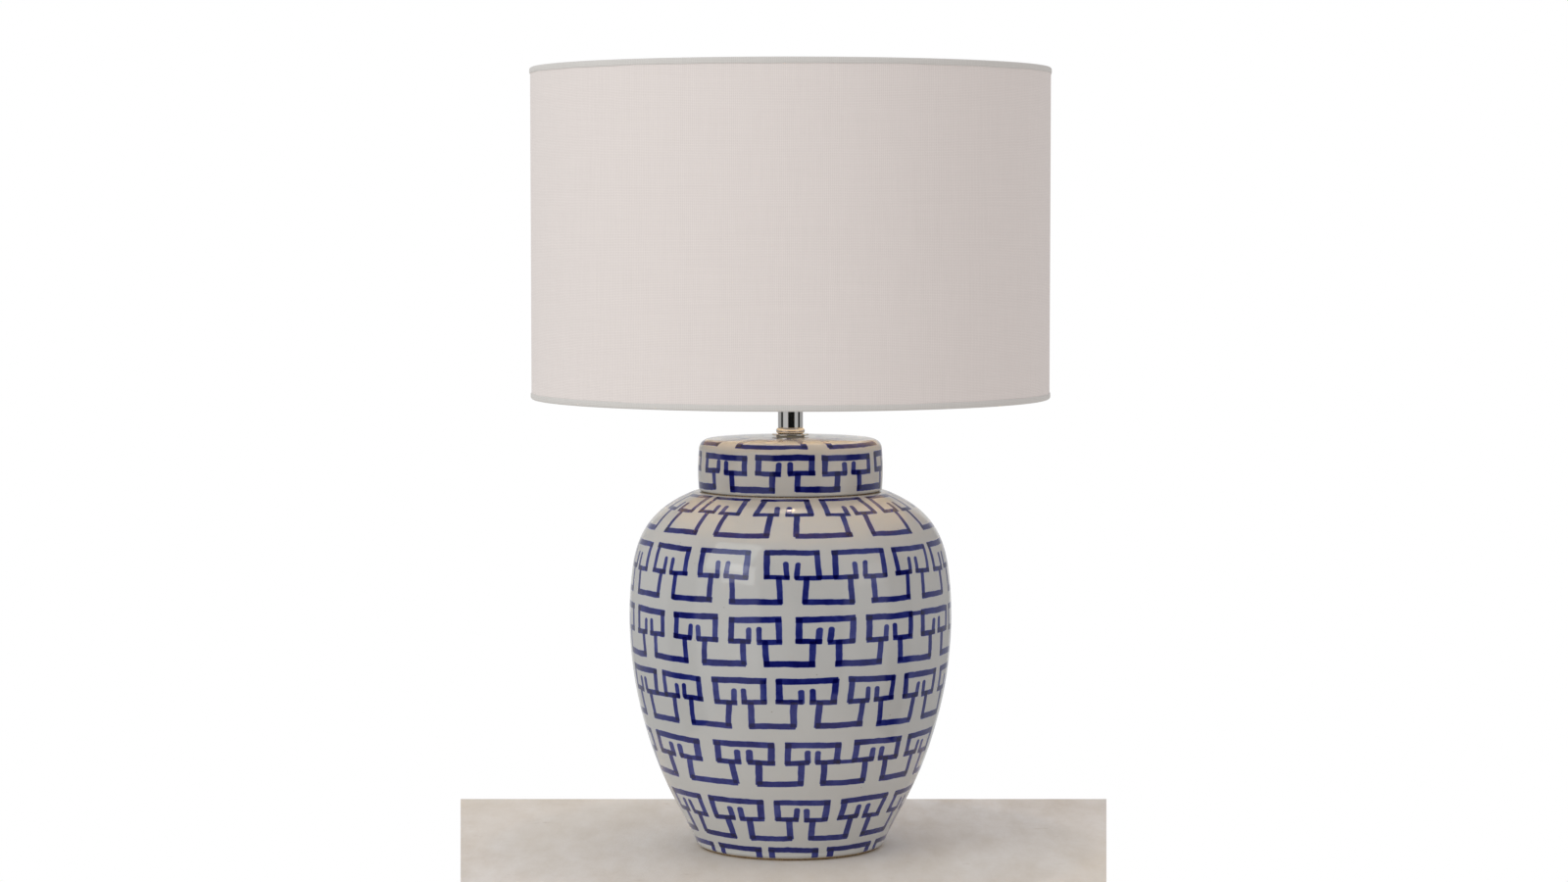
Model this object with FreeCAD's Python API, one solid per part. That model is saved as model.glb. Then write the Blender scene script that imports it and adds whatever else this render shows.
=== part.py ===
import FreeCAD, Part
import math
import os

from FreeCAD import Vector

# A ginger jar table lamp, in millimetres.
# Frame: +Z up, origin under the middle of the foot, on the surface that the lamp stands on.
# The front is -Y. The cord leaves through a bush low in the jar's back wall.

os.makedirs("parts", exist_ok=True)

# ---- Driving dimensions: jar --------------------------------------------------------------
foot_ring_thickness = 1.0
foot_radius = 60.6
foot_inner_radius = 50.5
foot_recess_depth = 9.0
jar_floor_thickness = 7.0
jar_wall = 6.5
seat_height = 241.3
seat_radius = 63.6
collar_radius = 54.6
collar_wall = 6.2
collar_top = 261.0

# Control points of the jar's outside, from the foot up: radius, height. The outline is a cubic curve.
jar_outline = [
    (64.5, 4.6), (68.3, 13.3), (81.1, 34.6), (96.7, 72.2),
    (108.5, 123.1), (110.1, 181.7), (100.5, 226.5), (67.9, 240.0),
]
jar_outline_knots = [0.0, 0.4, 0.65, 0.8, 0.9, 1.0]
shoulder_edge = (66.0, 240.72)

# ---- Driving dimensions: lid and neck -----------------------------------------------------
gasket_thickness = 0.5
lid_height = 36.4
lid_rim_radius = 62.0
lid_waist_radius = 62.5
lid_edge = 1.6
lid_seat_radius = lid_rim_radius - lid_edge
lid_inner_radius = 57.6
lid_top_thickness = 5.0
lid_corner = 6.8
lid_flat_radius = 10.0
lid_dome_drop = 1.6

cushion_radius = 9.5
cushion_height = 0.8
disc_radius = 12.5
disc_height = 1.0
bead_radius = 9.7
bead_height = 4.0
tube_radius = 8.45
tube_wall = 1.2
tube_length = 19.0

# ---- Driving dimensions: threaded rod and its clamping stack --------------------------------
rod_radius = 5.0
rod_bore = 4.0
rod_hole_radius = 5.5
rod_bottom = 2.2
rod_in_holder = 10.0
rubber_washer = (16.0, 1.5)
steel_washer = (14.0, 1.0)
lock_washer = (9.2, 0.8)
nut_across_flats = 14.0
nut_height = 3.2
lock_teeth = 14

# ---- Driving dimensions: cord bush ----------------------------------------------------------
bush_height = 24.0
bush_bore = 3.7
bush_sleeve_radius = 6.0
bush_flange_radius = 9.0
bush_flange_thickness = 2.2

# ---- Driving dimensions: lampholder, for a 27 mm screw cap ------------------------------------
holder_boss_radius = 9.0
holder_boss_height = 5.0
holder_cap_radius = 18.6
holder_cap_height = 18.0
holder_cap_wall = 2.2
holder_skirt_radius = 19.6
holder_skirt_height = 42.0
holder_skirt_wall = 2.6
holder_lip_radius = 15.2
insert_radius = 16.9
insert_height = 13.0
shell_inner_radius = 13.45
shell_wall = 0.55
shell_height = 25.0
contact_rise = 1.7

ring_flange_radius = 24.5
ring_hub_radius = 22.6
ring_notches = 16
lower_ring_height = 4.9
upper_ring_height = 6.5
thread_gap = 0.35
running_gap = 0.1

# ---- Driving dimensions: shade ----------------------------------------------------------------
shade_radius = 175.0
shade_bottom = 304.2
shade_top = 525.5
hem_thickness = 0.4
hem_height = 4.2
fabric_thickness = 0.8
liner_thickness = 0.6
wire_radius = 1.5
wire_ring_radius = 171.6
fitter_inner_radius = 20.4
fitter_outer_radius = 29.0
fitter_thickness = 1.5
fitter_drop_in = 24.3
arm_radius = 1.6
arm_count = 3

# ---- Driving dimensions: bulb -------------------------------------------------------------------
bulb_gap = 0.3
bulb_radius = 30.0
bulb_length = 105.0
bulb_glass = 1.0
bulb_neck_radius = 12.4
bulb_cap_radius = 13.1
bulb_cap_wall = 0.5
bulb_cap_height = 23.0


# ---- Helpers ------------------------------------------------------------------------------------
def at(radius, height):
    return Vector(radius, 0, height)


def line(start, end):
    return Part.LineSegment(at(*start), at(*end)).toShape()


def arc(start, middle, end):
    return Part.Arc(at(*start), at(*middle), at(*end)).toShape()


def level_arc(level, end):
    """The arc to end that is level (square to the axis) where it leaves its first point."""
    across = end[0] - level[0]
    rise = end[1] - level[1]
    radius = (across ** 2 + rise ** 2) / (2 * abs(rise))
    half = math.asin(across / radius) / 2
    middle = (
        level[0] + radius * math.sin(half),
        level[1] + math.copysign(radius * (1 - math.cos(half)), rise),
    )
    return arc(level, middle, end)


def revolve(edges):
    face = Part.Face(Part.Wire(edges))
    solid = face.revolve(Vector(0, 0, 0), Vector(0, 0, 1), 360)
    return Part.Solid(solid) if solid.ShapeType != "Solid" else solid


def turned(outline):
    """A solid of revolution from a closed polygon of (radius, height) points."""
    closed = outline + [outline[0]]
    return revolve([line(closed[i], closed[i + 1]) for i in range(len(outline))])


def tube(inner, outer, low, high, edge=0.0):
    """A ring of rectangular section, its two outer edges chamfered by edge."""
    if edge == 0.0:
        return turned([(inner, low), (outer, low), (outer, high), (inner, high)])
    return turned([
        (inner, low), (outer - edge, low), (outer, low + edge),
        (outer, high - edge), (outer - edge, high), (inner, high),
    ])


def torus(ring_radius, section_radius, height):
    return Part.makeTorus(ring_radius, section_radius, Vector(0, 0, height), Vector(0, 0, 1))


def around(shape, degrees):
    turned_copy = shape.copy()
    turned_copy.rotate(Vector(0, 0, 0), Vector(0, 0, 1), degrees)
    return turned_copy


def spaced(shape, count):
    return [around(shape, 360.0 * index / count) for index in range(count)]


def on_axis(shape, origin, direction):
    """Moves a shape drawn along +Z so that it lies along direction, from origin."""
    placed = shape.copy()
    turn = FreeCAD.Rotation(Vector(0, 0, 1), direction)
    placed.Placement = FreeCAD.Placement(origin, turn).multiply(placed.Placement)
    return placed


def save(name, shape):
    solids = shape.Solids
    if not shape.isValid() or not solids:
        raise ValueError(name + " is not a valid solid")
    out = solids[0] if len(solids) == 1 else Part.makeCompound(solids)
    out.exportStep("parts/" + name + ".step")
    box = out.BoundBox
    print(f"{name}: {len(solids)} solid, volume {out.Volume:.0f}, z {box.ZMin:.2f} to {box.ZMax:.2f}")


# ---- Jar ----------------------------------------------------------------------------------------
def inside_point(curve, parameter, depth):
    """The point at a depth under the outside curve, square to it."""
    tangent = curve.tangent(parameter)[0]
    return curve.value(parameter) + Vector(-tangent.z, 0, tangent.x) * depth


def jar_outside():
    ends = [4] + [1] * (len(jar_outline_knots) - 2) + [4]
    curve = Part.BSplineCurve()
    poles = [at(*pole) for pole in jar_outline]
    curve.buildFromPolesMultsKnots(poles, ends, jar_outline_knots, False, 3)
    return curve


def jar_inside(outside, floor):
    walls = [inside_point(outside, 0.35 + 0.07 * step, jar_wall) for step in range(10)]
    shoulder = at(collar_radius - collar_wall + 2.0, seat_height - 5.0)
    curve = Part.BSplineCurve()
    curve.interpolate([at(jar_outline[0][0] - 3.0, floor)] + walls + [shoulder])
    return curve


def jar_body(outside):
    foot = foot_ring_thickness
    underside = foot + foot_recess_depth
    floor = underside + jar_floor_thickness
    inside = jar_inside(outside, floor)
    inner_foot = inside.value(inside.FirstParameter)
    inner_top = inside.value(inside.LastParameter)
    first = jar_outline[0]
    last = jar_outline[-1]
    collar_inner = collar_radius - collar_wall
    lip = collar_wall / 2
    edges = [
        line((foot_inner_radius + 1.0, foot), (foot_radius, foot)),
        level_arc((foot_radius, foot), first),
        outside.toShape(),
        arc(last, shoulder_edge, (seat_radius, seat_height)),
        line((seat_radius, seat_height), (collar_radius, seat_height)),
        line((collar_radius, seat_height), (collar_radius, collar_top - lip)),
        arc((collar_radius, collar_top - lip), (collar_radius - lip, collar_top),
            (collar_inner, collar_top - lip)),
        line((collar_inner, collar_top - lip), (inner_top.x, inner_top.z)),
        inside.toShape(),
        line((inner_foot.x, inner_foot.z), (rod_hole_radius, floor)),
        line((rod_hole_radius, floor), (rod_hole_radius, underside)),
        line((rod_hole_radius, underside), (foot_inner_radius - 2.5, underside)),
        arc((foot_inner_radius - 2.5, underside), (foot_inner_radius - 0.7, underside - 0.7),
            (foot_inner_radius, underside - 2.5)),
        line((foot_inner_radius, underside - 2.5), (foot_inner_radius, foot + 1.0)),
        line((foot_inner_radius, foot + 1.0), (foot_inner_radius + 1.0, foot)),
    ]
    return revolve(Part.sortEdges(edges)[0])


def bush_axis(outside):
    """Where the cord leaves the jar's back wall, and the direction square to the wall."""
    level = Part.LineSegment(at(0.0, bush_height), at(shade_radius, bush_height))
    crossing = outside.intersect(level)[0]
    tangent = outside.tangent(outside.parameter(at(crossing.X, crossing.Z)))[0]
    return Vector(0, crossing.X, crossing.Z), Vector(0, tangent.z, -tangent.x)


def cord_bush(origin, direction, jar):
    inner_face = -jar_wall - bush_flange_thickness
    sleeve = tube(bush_bore, bush_sleeve_radius - 0.05, inner_face, 0.0)
    outer_flange = tube(bush_bore, bush_flange_radius, -1.0, bush_flange_thickness, 0.8)
    inner_flange = tube(bush_bore, bush_flange_radius - 1.0, inner_face, 1.0 - jar_wall, 0.6)
    whole = on_axis(sleeve.multiFuse([outer_flange, inner_flange]), origin, direction)
    return whole.cut(jar)


def build_jar():
    outside = jar_outside()
    origin, direction = bush_axis(outside)
    hole = Part.makeCylinder(bush_sleeve_radius, 40.0, origin - direction * 20.0, direction)
    jar = jar_body(outside).cut(hole)
    save("jar_body", jar)
    save("cord_bush", cord_bush(origin, direction, jar))
    save("foot_ring", tube(foot_inner_radius + 1.0, foot_radius, 0.0, foot_ring_thickness))
    middle = origin + direction * (bush_flange_thickness - (jar_wall + bush_flange_thickness)) / 2
    print("cord bush bore:", middle, "axis", direction)
    print("cord bush length:", jar_wall + 2 * bush_flange_thickness)


# ---- Lid and neck -------------------------------------------------------------------------------
def build_lid():
    low = seat_height + gasket_thickness
    top = low + lid_height
    corner_low = top - lid_corner - 2.4
    corner_high = (lid_rim_radius - lid_corner, top - lid_dome_drop)
    inner_top = top - lid_top_thickness
    edges = [
        line((lid_inner_radius, low), (lid_seat_radius, low)),
        level_arc((lid_seat_radius, low), (lid_rim_radius, low + lid_edge)),
        arc((lid_rim_radius, low + lid_edge), (lid_waist_radius, low + 13.0),
            (lid_rim_radius - 0.1, corner_low)),
        arc((lid_rim_radius - 0.1, corner_low), (lid_rim_radius - 1.7, top - 4.2), corner_high),
        level_arc((lid_flat_radius, top), corner_high),
        line((lid_flat_radius, top), (rod_hole_radius, top)),
        line((rod_hole_radius, top), (rod_hole_radius, inner_top)),
        line((rod_hole_radius, inner_top), (lid_inner_radius - 5.0, inner_top)),
        arc((lid_inner_radius - 5.0, inner_top), (lid_inner_radius - 1.5, inner_top - 1.5),
            (lid_inner_radius, inner_top - 5.0)),
        line((lid_inner_radius, inner_top - 5.0), (lid_inner_radius, low)),
    ]
    save("jar_lid", revolve(Part.sortEdges(edges)[0]))
    save("lid_gasket", tube(lid_inner_radius, lid_seat_radius - 0.2, seat_height, low))
    return top


def bead_ring(low):
    high = low + bead_height
    flat = bead_radius - bead_height / 2
    bore = tube_radius - tube_wall
    return revolve([
        line((bore, low), (flat, low)),
        arc((flat, low), (bead_radius, (low + high) / 2), (flat, high)),
        line((flat, high), (bore, high)),
        line((bore, high), (bore, low)),
    ])


def build_neck(lid_top):
    disc_low = lid_top + cushion_height
    bead_low = disc_low + disc_height
    tube_low = bead_low + bead_height
    tube_high = tube_low + tube_length
    save("neck_cushion", tube(rod_hole_radius, cushion_radius, lid_top, disc_low))
    save("neck_disc", tube(rod_radius + 0.2, disc_radius, disc_low, bead_low, 0.25))
    save("neck_bead", bead_ring(bead_low))
    save("neck_tube", tube(tube_radius - tube_wall, tube_radius, tube_low, tube_high, 0.3))
    save("neck_seat", tube(rod_radius, holder_boss_radius, tube_high, tube_high + 1.0, 0.2))
    return tube_high + 1.0


# ---- Threaded rod and the stack under the jar's floor -----------------------------------------------
def toothed_washer(low):
    outer, height = lock_washer
    ring = tube(rod_radius + 0.2, outer, low, low + height)
    gap = Part.makeBox(2.0, 1.0, height, Vector(outer - 1.6, -0.5, low))
    return ring.cut(Part.makeCompound(spaced(gap, lock_teeth)))


def hex_nut(low):
    corner = nut_across_flats / math.sqrt(3.0)
    points = [
        Vector(corner * math.cos(math.radians(60 * i)), corner * math.sin(math.radians(60 * i)), low)
        for i in range(7)
    ]
    block = Part.Face(Part.makePolygon(points)).extrude(Vector(0, 0, nut_height))
    rounded = turned([
        (0.0, low), (corner - 0.8, low), (corner, low + 0.5),
        (corner, low + nut_height - 0.5), (corner - 0.8, low + nut_height), (0.0, low + nut_height),
    ])
    bore = Part.makeCylinder(rod_radius, nut_height, Vector(0, 0, low))
    return block.common(rounded).cut(bore)


def build_rod(holder_base):
    floor_underside = foot_ring_thickness + foot_recess_depth
    rubber_low = floor_underside - rubber_washer[1]
    steel_low = rubber_low - steel_washer[1]
    lock_low = steel_low - lock_washer[1]
    save("base_rubber_washer", tube(rod_radius + 0.2, rubber_washer[0], rubber_low, floor_underside))
    save("base_steel_washer", tube(rod_radius + 0.2, steel_washer[0], steel_low, rubber_low, 0.2))
    save("base_lock_washer", toothed_washer(lock_low))
    save("base_nut", hex_nut(lock_low - nut_height))
    save("threaded_rod", tube(rod_bore, rod_radius, rod_bottom, holder_base + rod_in_holder, 0.4))


# ---- Lampholder ---------------------------------------------------------------------------------------
def holder_cap(base):
    shoulder = base + holder_boss_height
    top = base + holder_cap_height
    inner = holder_cap_radius - holder_cap_wall
    inner_floor = base + rod_in_holder
    return revolve([
        line((rod_radius, base), (holder_boss_radius, base)),
        line((holder_boss_radius, base), (holder_boss_radius, shoulder)),
        arc((holder_boss_radius, shoulder), (holder_cap_radius - 2.9, shoulder + 2.7),
            (holder_cap_radius, shoulder + 9.0)),
        line((holder_cap_radius, shoulder + 9.0), (holder_cap_radius, top)),
        line((holder_cap_radius, top), (inner, top)),
        line((inner, top), (inner, inner_floor + 4.0)),
        arc((inner, inner_floor + 4.0), (inner - 1.2, inner_floor + 1.2), (inner - 4.0, inner_floor)),
        line((inner - 4.0, inner_floor), (rod_radius, inner_floor)),
        line((rod_radius, inner_floor), (rod_radius, base)),
    ])


def holder_skirt(low):
    high = low + holder_skirt_height
    inner = holder_skirt_radius - holder_skirt_wall
    return turned([
        (inner, low), (holder_cap_radius, low), (holder_skirt_radius, low + 0.8),
        (holder_skirt_radius, high - 1.0), (holder_skirt_radius - 1.0, high),
        (holder_lip_radius, high), (holder_lip_radius, high - 1.6), (inner, high - 1.6),
    ])


def insulating_insert(low):
    high = low + insert_height
    body = tube(3.0, insert_radius, low, high, 0.5)
    slots = [
        Part.makeBox(5.0, 3.0, insert_height, Vector(insert_radius - 3.0, -1.5, low)),
        Part.makeBox(5.0, 3.0, insert_height, Vector(-insert_radius - 2.0, -1.5, low)),
    ]
    return body.cut(Part.makeCompound(slots))


def centre_contact(low):
    """A springy strip: a foot on the insert, a rise, and a flat tongue under the bulb's tip."""
    thick = 0.5
    tongue = low + contact_rise
    outline = [
        (-8.0, low), (-4.2, low), (-2.6, tongue - thick), (3.4, tongue - thick), (4.6, tongue - 1.1),
        (4.9, tongue - 0.7), (3.7, tongue), (-3.0, tongue), (-4.6, low + thick), (-8.0, low + thick),
    ]
    points = [Vector(x, -2.5, z) for x, z in outline + outline[:1]]
    return Part.Face(Part.makePolygon(points)).extrude(Vector(0, 5.0, 0))


def screw_shell(low):
    outer = shell_inner_radius + shell_wall
    return turned([
        (9.2, low), (outer, low), (outer, low + shell_height),
        (shell_inner_radius, low + shell_height), (shell_inner_radius, low + 0.6), (9.2, low + 0.6),
    ])


def terminal(side, low):
    """A brass block under the insert, with a wire hole up into it and a screw hole from outside."""
    block = Part.makeBox(6.5, 6.0, 6.0, Vector(5.0, -3.0, low))
    wire_hole = Part.makeCylinder(1.2, 4.5, Vector(8.2, 0, low))
    screw_hole = Part.makeCylinder(1.3, 4.0, Vector(8.4, 0, low + 3.0), Vector(1, 0, 0))
    return around(block.cut(wire_hole).cut(screw_hole), side)


def terminal_screw(side, low):
    shank = Part.makeCylinder(1.3, 2.6, Vector(9.5, 0, low + 3.0), Vector(1, 0, 0))
    head = Part.makeCylinder(2.1, 1.4, Vector(11.5, 0, low + 3.0), Vector(1, 0, 0))
    slot = Part.makeBox(0.7, 5.0, 0.6, Vector(12.3, -2.5, low + 2.7))
    return around(shank.fuse(head).cut(slot), side)


def rivet(side, low):
    return around(turned([(0.0, 0.0), (1.5, 0.0), (1.2, 0.5), (0.0, 0.7)]).translated(Vector(11.2, 0, low)), side)


def shade_ring(low, height, bore):
    """A threaded ring: a notched flange that meets the shade's fitter, and a plain hub."""
    flange_height = 2.6
    notch = Part.makeCylinder(1.7, flange_height, Vector(ring_flange_radius + 0.7, 0, low))
    flange = tube(bore, ring_flange_radius, low, low + flange_height, 0.4)
    flange = flange.cut(Part.makeCompound(spaced(notch, ring_notches)))
    hub = tube(bore, ring_hub_radius, low + flange_height, low + height, 0.6)
    return flange.fuse(hub)


def flipped(shape, height):
    """The shape upside down about a height."""
    return shape.mirror(Vector(0, 0, height), Vector(0, 0, 1))


def build_holder(base):
    rim = base + holder_cap_height
    seat = rim + insert_height
    save("holder_cap", holder_cap(base).cut(
        Part.makeCylinder(1.5, 6.0, Vector(0, rod_radius - 0.5, base + 2.5), Vector(0, 1, 0))))
    grub = Part.makeCylinder(1.5, 3.6, Vector(0, rod_radius, base + 2.5), Vector(0, 1, 0))
    grub_slot = Part.makeBox(4.0, 0.8, 0.5, Vector(-2.0, rod_radius + 2.8, base + 2.25))
    save("holder_locking_screw", grub.cut(grub_slot).cut(Part.makeCylinder(rod_radius, 6.0, Vector(0, 0, base))))
    save("holder_skirt", holder_skirt(rim))
    save("holder_insert", insulating_insert(rim))
    save("holder_screw_shell", screw_shell(seat))
    save("holder_centre_contact", centre_contact(seat))
    save("holder_rivets", Part.makeCompound([rivet(side, seat + 0.6) for side in (90, 270)]))
    save("holder_terminals", Part.makeCompound([terminal(side, rim - 6.0) for side in (0, 180)]))
    save("holder_terminal_screws", Part.makeCompound([terminal_screw(side, rim - 6.0) for side in (0, 180)]))
    return seat


# ---- Shade ----------------------------------------------------------------------------------------------
def hem(edge, inward_sign):
    """A folded strip over one rim: outer leg, web across the edge, and a shorter inner leg."""
    outer = shade_radius
    inner = wire_ring_radius - wire_radius - 0.1
    heights = [0.0, hem_height, hem_thickness, 3.1]
    leg, web, short = [edge + inward_sign * step for step in heights[1:]]
    return turned([
        (outer, edge), (outer, leg), (outer - hem_thickness, leg), (outer - hem_thickness, web),
        (inner, web), (inner, short), (inner - hem_thickness, short), (inner - hem_thickness, edge),
    ])


def fitter_arm(ring_top, wire_height, blockers):
    """A bent wire from the top of the fitter ring down to the bottom ring wire, welded at both ends."""
    weld = 0.3
    high = ring_top + arm_radius - weld
    low = wire_height + wire_radius + arm_radius - weld
    start, knee, ankle, end = (25.4, high), (36.0, high), (158.0, low), (172.6, low)
    bend = 6.0
    slope = Vector(ankle[0] - knee[0], 0, low - high)
    slope.normalize()
    knee_out = at(*knee) + slope * bend
    ankle_in = at(*ankle) - slope * bend
    knee_in = at(knee[0] - bend, high)
    ankle_out = at(ankle[0] + bend, low)
    knee_mid = at(*knee) + (knee_in + knee_out - at(*knee) * 2) * 0.25
    ankle_mid = at(*ankle) + (ankle_in + ankle_out - at(*ankle) * 2) * 0.25
    path = Part.Wire([
        Part.LineSegment(at(*start), knee_in).toShape(),
        Part.Arc(knee_in, knee_mid, knee_out).toShape(),
        Part.LineSegment(knee_out, ankle_in).toShape(),
        Part.Arc(ankle_in, ankle_mid, ankle_out).toShape(),
        Part.LineSegment(ankle_out, at(*end)).toShape(),
    ])
    section = Part.Wire(Part.Circle(at(*start), Vector(1, 0, 0), arm_radius).toShape())
    return path.makePipeShell([section], True, False).cut(Part.makeCompound(blockers))


def build_shade():
    outer = shade_radius - hem_thickness
    middle = outer - fabric_thickness
    inner = middle - liner_thickness
    low = shade_bottom + hem_thickness
    high = shade_top - hem_thickness
    low_wire_height = low + wire_radius + 0.1
    high_wire_height = high - wire_radius - 0.1
    ring_low = shade_bottom + fitter_drop_in
    ring_top = ring_low + fitter_thickness
    low_wire = torus(wire_ring_radius, wire_radius, low_wire_height)
    fitter = tube(fitter_inner_radius, fitter_outer_radius, ring_low, ring_top, 0.3)
    save("shade_fabric", tube(middle, outer, low, high))
    save("shade_liner", tube(inner, middle, low, high))
    save("shade_hem_bottom", hem(shade_bottom, 1))
    save("shade_hem_top", hem(shade_top, -1))
    save("shade_wire_bottom", low_wire)
    save("shade_wire_top", torus(wire_ring_radius, wire_radius, high_wire_height))
    save("fitter_ring", fitter)
    arm = fitter_arm(ring_top, low_wire_height, [low_wire, fitter])
    for index in range(arm_count):
        save(f"fitter_arm_{index + 1}", around(arm, 90.0 + 360.0 * index / arm_count))
    return ring_low, ring_top


def build_shade_rings(fitter_low, fitter_top):
    lower = shade_ring(0.0, lower_ring_height, holder_skirt_radius)
    lower_flipped = flipped(lower, 0.0).translated(Vector(0, 0, fitter_low - running_gap))
    save("shade_ring_lower", lower_flipped)
    upper = shade_ring(fitter_top + running_gap, upper_ring_height, holder_skirt_radius + thread_gap)
    save("shade_ring_upper", upper)


# ---- Bulb -----------------------------------------------------------------------------------------------
def globe_profile(radius, neck, neck_low, neck_high, centre):
    """Half outline of a pear-shaped globe, from its neck to its top, as edges."""
    join = math.radians(-38.0)
    side = (radius * math.cos(join), centre + radius * math.sin(join))
    throat = Part.BSplineCurve()
    throat.interpolate(
        [at(neck, neck_high), at(*side)],
        InitialTangent=Vector(0, 0, 1),
        FinalTangent=Vector(-math.sin(join), 0, math.cos(join)),
    )
    middle = (radius * math.cos(math.radians(20.0)), centre + radius * math.sin(math.radians(20.0)))
    return [
        line((neck, neck_low), (neck, neck_high)),
        throat.toShape(),
        arc(side, middle, (0.0, centre + radius)),
    ]


def filled_globe(radius, neck, neck_low, neck_high, centre):
    edges = globe_profile(radius, neck, neck_low, neck_high, centre)
    edges.append(line((0.0, centre + radius), (0.0, neck_low)))
    edges.append(line((0.0, neck_low), (neck, neck_low)))
    return revolve(Part.sortEdges(edges)[0])


def bulb_cap(low):
    """The screw cap's plain outline: a cone at the bottom, the thread's outer radius, a flared top."""
    top = low + bulb_cap_height
    wall = bulb_cap_wall
    return turned([
        (8.6, low), (11.0, low + 1.0), (bulb_cap_radius, low + 3.6), (bulb_cap_radius, top - 1.4),
        (bulb_cap_radius + 0.3, top), (bulb_cap_radius - wall, top),
        (bulb_cap_radius - wall, low + 3.8), (11.0 - wall, low + 1.4), (8.6, low + wall),
    ])


def bulb_filaments(centre, stem_radius):
    """Four straight light sticks, leaning out from the stem's head like a tall narrow crown."""
    sticks = []
    for side in range(4):
        low = Vector(stem_radius - 0.6, 0, centre - 14.0)
        high = Vector(stem_radius + 5.0, 0, centre + 16.0)
        sticks.append(around(Part.makeCylinder(0.9, (high - low).Length, low, high - low), 90.0 * side + 45.0))
    return Part.makeCompound(sticks)


def build_bulb(seat):
    tip = seat + contact_rise + bulb_gap
    insulator_low = tip + 1.0 + running_gap
    cap_low = insulator_low + 2.4
    cap_top = cap_low + bulb_cap_height
    centre = tip + bulb_length - bulb_radius
    save("bulb_contact", turned([
        (0.0, tip), (2.4, tip), (4.4, tip + 0.5), (4.8, tip + 1.0), (0.0, tip + 1.0),
    ]))
    save("bulb_insulator", turned([
        (0.0, insulator_low), (5.0, insulator_low), (8.6, cap_low), (8.6, cap_low + 2.0), (0.0, cap_low + 2.0),
    ]))
    save("bulb_cap", bulb_cap(cap_low))
    outside = filled_globe(bulb_radius, bulb_neck_radius, cap_top - 8.0, cap_top + 2.0, centre)
    inside = filled_globe(
        bulb_radius - bulb_glass, bulb_neck_radius - bulb_glass, cap_top - 8.0, cap_top + 2.0, centre)
    collar = tube(bulb_neck_radius - bulb_glass, bulb_cap_radius - bulb_cap_wall, cap_top - 8.0, cap_top - 5.0)
    save("bulb_globe", outside.cut(inside).fuse(collar))
    stem_foot = turned([
        (0.0, cap_top - 8.0), (bulb_neck_radius - bulb_glass, cap_top - 8.0),
        (bulb_neck_radius - bulb_glass, cap_top - 6.8), (4.4, cap_top + 2.0), (3.2, centre - 16.0),
        (2.6, centre - 12.0), (0.0, centre - 11.0),
    ])
    save("bulb_stem", stem_foot)
    save("bulb_filaments", bulb_filaments(centre, 3.4).cut(stem_foot))


# ---- Assembly, from the foot up -----------------------------------------------------------------------------
build_jar()
lid_top = build_lid()
holder_base = build_neck(lid_top)
build_rod(holder_base)
insert_top = build_holder(holder_base)
fitter_low, fitter_top = build_shade()
build_shade_rings(fitter_low, fitter_top)
build_bulb(insert_top)
print("holder base", holder_base, "insert top", insert_top, "fitter", fitter_low, fitter_top)
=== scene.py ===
"""Looks of the ginger jar lamp: glazed jar with a hand-painted fret, polished neck and a woven drum shade."""

import math
import random

import bpy
import numpy as np
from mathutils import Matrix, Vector


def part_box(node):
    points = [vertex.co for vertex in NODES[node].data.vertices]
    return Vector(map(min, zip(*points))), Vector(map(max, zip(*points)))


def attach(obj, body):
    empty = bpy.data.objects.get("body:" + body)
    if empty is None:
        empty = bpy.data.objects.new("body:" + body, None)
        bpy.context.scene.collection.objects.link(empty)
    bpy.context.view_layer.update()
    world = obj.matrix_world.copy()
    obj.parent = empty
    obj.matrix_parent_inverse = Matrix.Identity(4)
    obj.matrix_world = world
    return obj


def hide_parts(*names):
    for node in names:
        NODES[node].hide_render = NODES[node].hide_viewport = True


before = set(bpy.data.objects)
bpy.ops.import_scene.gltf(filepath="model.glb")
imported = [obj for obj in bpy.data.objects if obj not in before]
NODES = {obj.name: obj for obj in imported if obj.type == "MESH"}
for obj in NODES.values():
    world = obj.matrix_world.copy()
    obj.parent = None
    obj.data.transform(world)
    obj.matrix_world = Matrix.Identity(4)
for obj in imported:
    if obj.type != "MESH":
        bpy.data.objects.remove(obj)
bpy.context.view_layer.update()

MM = 0.001
TAU = 2 * math.pi


# ---------------------------------------------------------------- node helpers

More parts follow.
